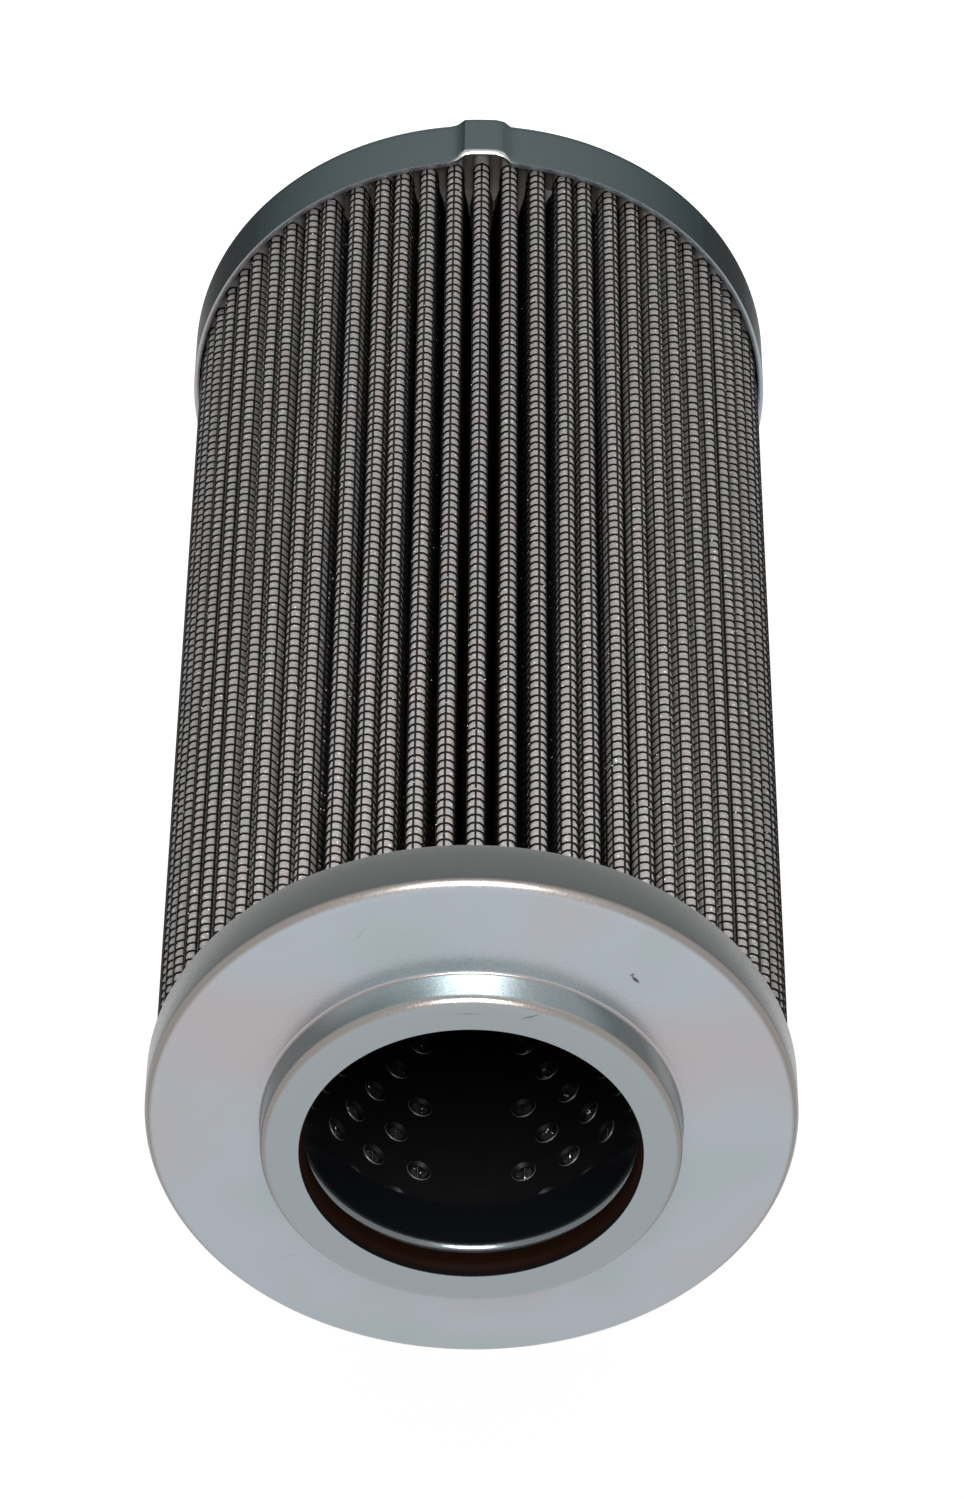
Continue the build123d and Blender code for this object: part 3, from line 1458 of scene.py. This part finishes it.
    def along_fold(self, distance: float) -> tuple[float, float]:
        """Where a distance along the mesh from the middle of a tip lies, on a pleat along X.

        Args:
            distance: millimetres from the tip's middle, negative on the other side.

        Returns:
            X and Y in millimetres.
        """
        reach = self.half_width * self.axial_lift
        quarter = reach * math.pi / 2
        if abs(distance) < quarter:
            angle = distance / reach
            return self.tip_centre + reach * math.cos(angle), reach * math.sin(angle)
        return self.tip_centre - (abs(distance) - quarter), math.copysign(reach, distance)

    def axial_places(self, number: int) -> list[float]:
        """Where the straight wires lie on a pleat, as the folded mesh runs on from the last one.

        Args:
            number: the pleat's, counted along the strip.

        Returns:
            Their distances along the mesh from the middle of the pleat's tip.
        """
        phase = (number * self.strip_length) % self.axial_pitch
        steps = int(self.axial_reach / self.axial_pitch) + 1
        places = [phase + step * self.axial_pitch for step in range(-steps, steps + 1)]
        return [distance for distance in places if abs(distance) <= self.axial_reach]

    def build(self) -> dict[str, list[Piece]]:
        """Models the pack.

        Returns:
            The pieces by kind: fleece and wires.
        """
        self.place_pleats()
        pleat, hoop, axial = self.one_pleat(), self.one_hoop(), self.one_axial_wire()
        kinds: dict[str, list[Piece]] = {"fleece": [], "wires": []}
        size = self.count // self.groups
        for group in range(self.groups):
            turns = [turn(angle) for angle in self.angles[group * size : (group + 1) * size]]
            for kind, name, source in (("fleece", "pleats", pleat), ("wires", "mesh_wires", hoop)):
                copies = [copied(source, place) for place in turns]
                kinds[kind].append(joined(f"{name}_{group + 1}", copies))
        axials = []
        for number, angle in enumerate(self.angles):
            for distance in self.axial_places(number):
                place = turn(angle) @ move(*self.along_fold(distance), 0)
                axials.append(copied(axial, place))
        kinds["wires"].append(joined("mesh_axial_wires", axials))
        discard(pleat, hoop, axial)
        return kinds


@dataclass
class InnerFolds:
    """The folds against the tube, with the inner wire mesh that shows through its holes."""

    count: int = 66
    tube_radius: float = 21.45
    clearance: float = 0.3
    crest: float = 0.45
    seam_depth: float = 0.75
    layers: float = 0.6
    bottom: float = 3.2
    top: float = 149.7
    end_gap: float = 0.4
    wire_size: float = 0.2
    wire_pitch: float = 1.411
    wire_gap: float = 0.02
    upright_gap: float = 0.03
    upright_place: float = 0.5
    rows: int = 103

    def fold_path(self, name: str, front: float) -> Piece:
        """Draws one fold's outline: its crest, and both sides back to the seams.

        Args:
            name: the new object's name.
            front: the crest's distance from the axis.

        Returns:
            The path's object, pointing along X.
        """
        half = math.pi / self.count
        seam = front + self.seam_depth
        x, y = seam * math.cos(half), seam * math.sin(half)
        outline = ((x, -y), (front, -self.crest), (front, self.crest), (x, y))
        return draw_path(name, [Corner((*point, self.bottom)) for point in outline])

    def spread(self, name: str, fold: Piece) -> Piece:
        """Copies one fold's piece to every fold and joins the copies.

        Args:
            name: the joined object's name.
            fold: the piece that is modelled once, pointing along X.

        Returns:
            The joined object.
        """
        pitch = 360 / self.count
        turns = [turn(FRONT_ANGLE + (i + 0.5) * pitch) for i in range(self.count)]
        ring = joined(name, [copied(fold, place) for place in turns])
        discard(fold)
        return ring

    def build(self) -> tuple[Piece, Piece]:
        """Models the ring of folds and the mesh on it.

        Returns:
            The folds' object and the mesh's object.
        """
        fold = self.fold_path("one_inner_fold", self.tube_radius + self.clearance)
        with edit_mode(fold):
            extrude(0, 0, self.top - self.bottom)
        ring = self.spread("inner_folds", fold)
        with edit_mode(ring):
            weld(5 * MERGE_DISTANCE)
            face_one_way(inside=True)
        apply_modifier(ring, "SOLIDIFY", thickness=self.layers * MM, offset=-1.0)
        smooth(ring, math.radians(50))

        front = self.tube_radius + self.clearance + self.wire_gap
        wire = self.fold_path("one_inner_wire", front)
        size, half = self.wire_size, self.wire_size / 2
        with edit_mode(wire):
            shift(0, 0, self.end_gap)
            for lift, outwards in ((half, -size), (half, size), (-size, 0)):
                extrude(outwards, 0, lift)
            weld()
            face_one_way()
        array(wire, self.rows, (0, 0, self.wire_pitch))
        mesh = joined("one_inner_mesh", [wire, self.upright_wires()])
        mesh = self.spread("inner_wire_mesh", mesh)
        smooth(mesh, math.pi)
        return ring, mesh

    def upright_wires(self) -> Piece:
        """Models the two straight wires on one fold's crest.

        Returns:
            The wires' object.
        """
        radius = self.wire_size / 2
        length = self.top - self.bottom - self.end_gap
        front = self.tube_radius + radius + self.upright_gap
        wires = []
        for side in (-self.upright_place, self.upright_place):
            middle = (front, side, (self.top + self.bottom) / 2)
            wires.append(straight_wire("one_upright_wire", radius, length, middle))
        return joined("one_fold_upright_wires", wires)


@dataclass
class GlueFillets:
    """Adhesive that rose in the valleys at the closed end and set there as small wedges."""

    angles: Sequence[float]
    bottom: float = 3.0
    rim: float = 8.7
    highest: float = 11.8
    rise_change: tuple[float, float] = (-2.7, 0.5)
    mouth: float = 35.2
    back: float = 31.8
    flank: float = 0.8
    least_back: float = 0.25
    lean: float = 0.35
    ridge: tuple[float, float] = (0.5, 0.12)
    ridge_place: float = 1.5
    seed: int = 3

    def build(self) -> Piece:
        """Models a wedge in each valley.

        Returns:
            The wedges' object.
        """
        chance = random.Random(self.seed)
        wedges = []
        around = list(self.angles) + [self.angles[0] + 360]
        for here, there in zip(around, around[1:]):
            slope = math.tan(math.radians(there - here) / 2)
            half_mouth = self.mouth * slope - self.flank
            half_back = max(self.least_back, self.back * slope - self.flank)
            rise = self.highest - self.rim + chance.uniform(*self.rise_change)
            wedge = self.one_wedge(half_mouth, half_back, rise)
            wedges.append(copied(wedge, turn((here + there) / 2)))
            discard(wedge)
        ring = joined("closed_end_glue_fillets", wedges)
        smooth(ring, math.radians(40))
        return ring

    def one_wedge(self, half_mouth: float, half_back: float, rise: float) -> Piece:
        """Models one wedge along X: a block between two flanks, drawn up to an edge at the back.

        Args:
            half_mouth: half its width at the valley's mouth.
            half_back: half its width deep in the valley.
            rise: how far its back edge stands above the rim.

        Returns:
            The wedge's object.
        """
        foot = (
            (self.mouth, -half_mouth),
            (self.mouth, half_mouth),
            (self.back, half_back),
            (self.back, -half_back),
        )
        wedge = draw_path("one_glue_wedge", [Corner((*point, self.bottom)) for point in foot])
        with edit_mode(wedge):
            bpy.ops.mesh.edge_face_add()
            extrude(0, 0, self.rim - self.bottom)
            extrude(-self.lean * (self.mouth - self.back), 0, rise)
            bpy.ops.transform.resize(
                value=(*self.ridge, 1),
                center_override=((self.back + self.ridge_place) * MM, 0, (self.rim + rise) * MM),
            )
            face_one_way()
        return wedge


# Camera, light and floor


@dataclass
class Studio:
    """A pale floor, a soft key lamp beside the camera and a white surround."""

    photo_width: int = 964
    photo_height: int = 1500
    focal_pixels: float = 6052.7
    sensor: float = 36.0
    camera_place: tuple[float, float, float] = (-0.881, -503.88, 670.52)
    view_down: float = 40.663
    roll: float = 0.0085
    key_watts: float = 0.9
    key_size: float = 0.115
    key_distance: float = 300.0
    key_angle: float = 51.5
    key_aim: float = 110.0
    surround: float = 0.2
    floor_size: float = 8.0
    floor_colour: str = "#F4F4F4"
    floor_glow: float = 0.82
    floor_gap: float = 0.02

    def build(self) -> None:
        """Makes the camera, the lamp, the surround and the floor."""
        self.camera()
        self.key_lamp()
        self.world()
        self.floor()
        bpy.context.scene.view_settings.view_transform = "Standard"

    def camera(self) -> None:
        """Puts the camera where the photograph was taken from, with its long lens."""
        tilt = math.radians(self.view_down)
        back = Vector((0, -math.sin(tilt), math.cos(tilt)))
        up = Vector((0, -math.cos(tilt), -math.sin(tilt)))
        right = up.cross(back)
        c, s = math.cos(self.roll), math.sin(self.roll)
        data = bpy.data.cameras.new("photo_camera")
        data.sensor_fit = "AUTO"
        data.sensor_width = self.sensor
        data.lens = self.focal_pixels * self.sensor / max(self.photo_width, self.photo_height)
        data.clip_start = 0.05
        data.clip_end = 50.0
        camera = bpy.data.objects.new("photo_camera", data)
        bpy.context.scene.collection.objects.link(camera)
        axes = (right * c + up * s, up * c - right * s, back, Vector(self.camera_place) * MM)
        rows = [[axis[row] for axis in axes] for row in range(3)]
        camera.matrix_world = Matrix([*rows, (0, 0, 0, 1)])
        bpy.context.scene.camera = camera

    def key_lamp(self) -> None:
        """Hangs one soft lamp just above the lens, aimed at the neck."""
        tilt = math.radians(self.key_angle)
        towards = Vector((0, -math.sin(tilt), math.cos(tilt)))
        data = bpy.data.lights.new("key_lamp", "AREA")
        data.shape = "SQUARE"
        data.size = self.key_size
        data.energy = self.key_watts
        lamp = bpy.data.objects.new("key_lamp", data)
        lamp.location = Vector((0, 0, self.key_aim * MM)) + towards * self.key_distance * MM
        lamp.rotation_euler = towards.to_track_quat("Z", "Y").to_euler()
        bpy.context.scene.collection.objects.link(lamp)

    def world(self) -> None:
        """Lights softly from all round, and shows as white in the view and in reflections."""
        world = bpy.data.worlds.new("white_surround")
        bpy.context.scene.world = world
        world.use_nodes = True
        tree = world.node_tree
        tree.nodes.clear()
        strength = add_node(
            tree, "MapRange", {"Value": seen_white(tree), "To Min": self.surround, "To Max": 1.0}
        ).outputs[0]
        light = add_node(tree, "Background", {"Color": WHITE, "Strength": strength})
        add_node(tree, "OutputWorld", {"Surface": light.outputs[0]})

    def floor(self) -> None:
        """Lays the pale floor that the filter stands on, clear when seen from below."""
        deselect()
        bpy.ops.mesh.primitive_plane_add(
            size=self.floor_size, location=(0, 0, -self.floor_gap * MM)
        )
        floor = bpy.context.object
        floor.name = "studio_floor"
        material, tree, _ = blank_material("white_paper")
        lift = add_node(
            tree, "Math", {0: seen_white(tree), 1: self.floor_glow}, operation="MULTIPLY"
        ).outputs[0]
        paper = add_node(tree, "BsdfDiffuse", {"Color": linear(self.floor_colour)}).outputs[0]
        glow = add_node(tree, "Emission", {"Color": WHITE, "Strength": lift}).outputs[0]
        both = add_node(tree, "AddShader", {0: paper, 1: glow}).outputs[0]
        below = add_node(tree, "NewGeometry").outputs["Backfacing"]
        clear = add_node(tree, "BsdfTransparent").outputs[0]
        sheet = add_node(tree, "MixShader", {0: below, 1: both, 2: clear})
        add_node(tree, "OutputMaterial", {"Surface": sheet.outputs[0]})
        floor.data.materials.append(material)


def dress_node(node: str, material: bpy.types.Material) -> None:
    """Gives a carried-over CAD node its material, slot by slot.

    Args:
        node: the CAD node's name.
        material: what it is made of.
    """
    mesh_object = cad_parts[node]
    if not mesh_object.material_slots:
        mesh_object.data.materials.append(material)
    for slot in mesh_object.material_slots:
        slot.material = material


def main() -> None:
    """Builds the filter's pieces in order, dresses them and sets up the studio."""
    logging.basicConfig(level=logging.INFO, format="%(name)s %(message)s")
    deselect()
    zinc, shaded_zinc, drawn_zinc = (
        plate.material() for plate in (ZincPlate(), SHADED_ZINC, DRAWN_ZINC)
    )
    settle(NeckCap().build(), zinc, ["neck_end_cap"])
    settle(ClosedCap().build(), shaded_zinc, ["closed_end_cap"])
    settle(SealRing().build(), SEAL_RUBBER.material(), ["o_ring"])
    settle(GuideSleeve().build(), drawn_zinc, ["guide_sleeve"])
    settle(CoreTube().build(), TUBE_STEEL.material(), ["core_tube"])

    fleece, coated_wire = FilterFleece().material(), COATED_WIRE.material()
    pack = PleatPack()
    pieces = pack.build()
    for piece in pieces["fleece"]:
        settle(piece, fleece, ["pleated_media"])
    for piece in pieces["wires"]:
        settle(piece, coated_wire)
    folds, mesh = InnerFolds().build()
    settle(folds, INNER_FLEECE.material())
    settle(mesh, INNER_MESH.material())

    potting = POTTING.material()
    settle(GlueFillets(pack.angles).build(), potting)
    for node in ("seam_adhesive", "neck_potting", "closed_potting"):
        dress_node(node, potting)

    Studio().build()


if __name__ == "__main__":
    main()
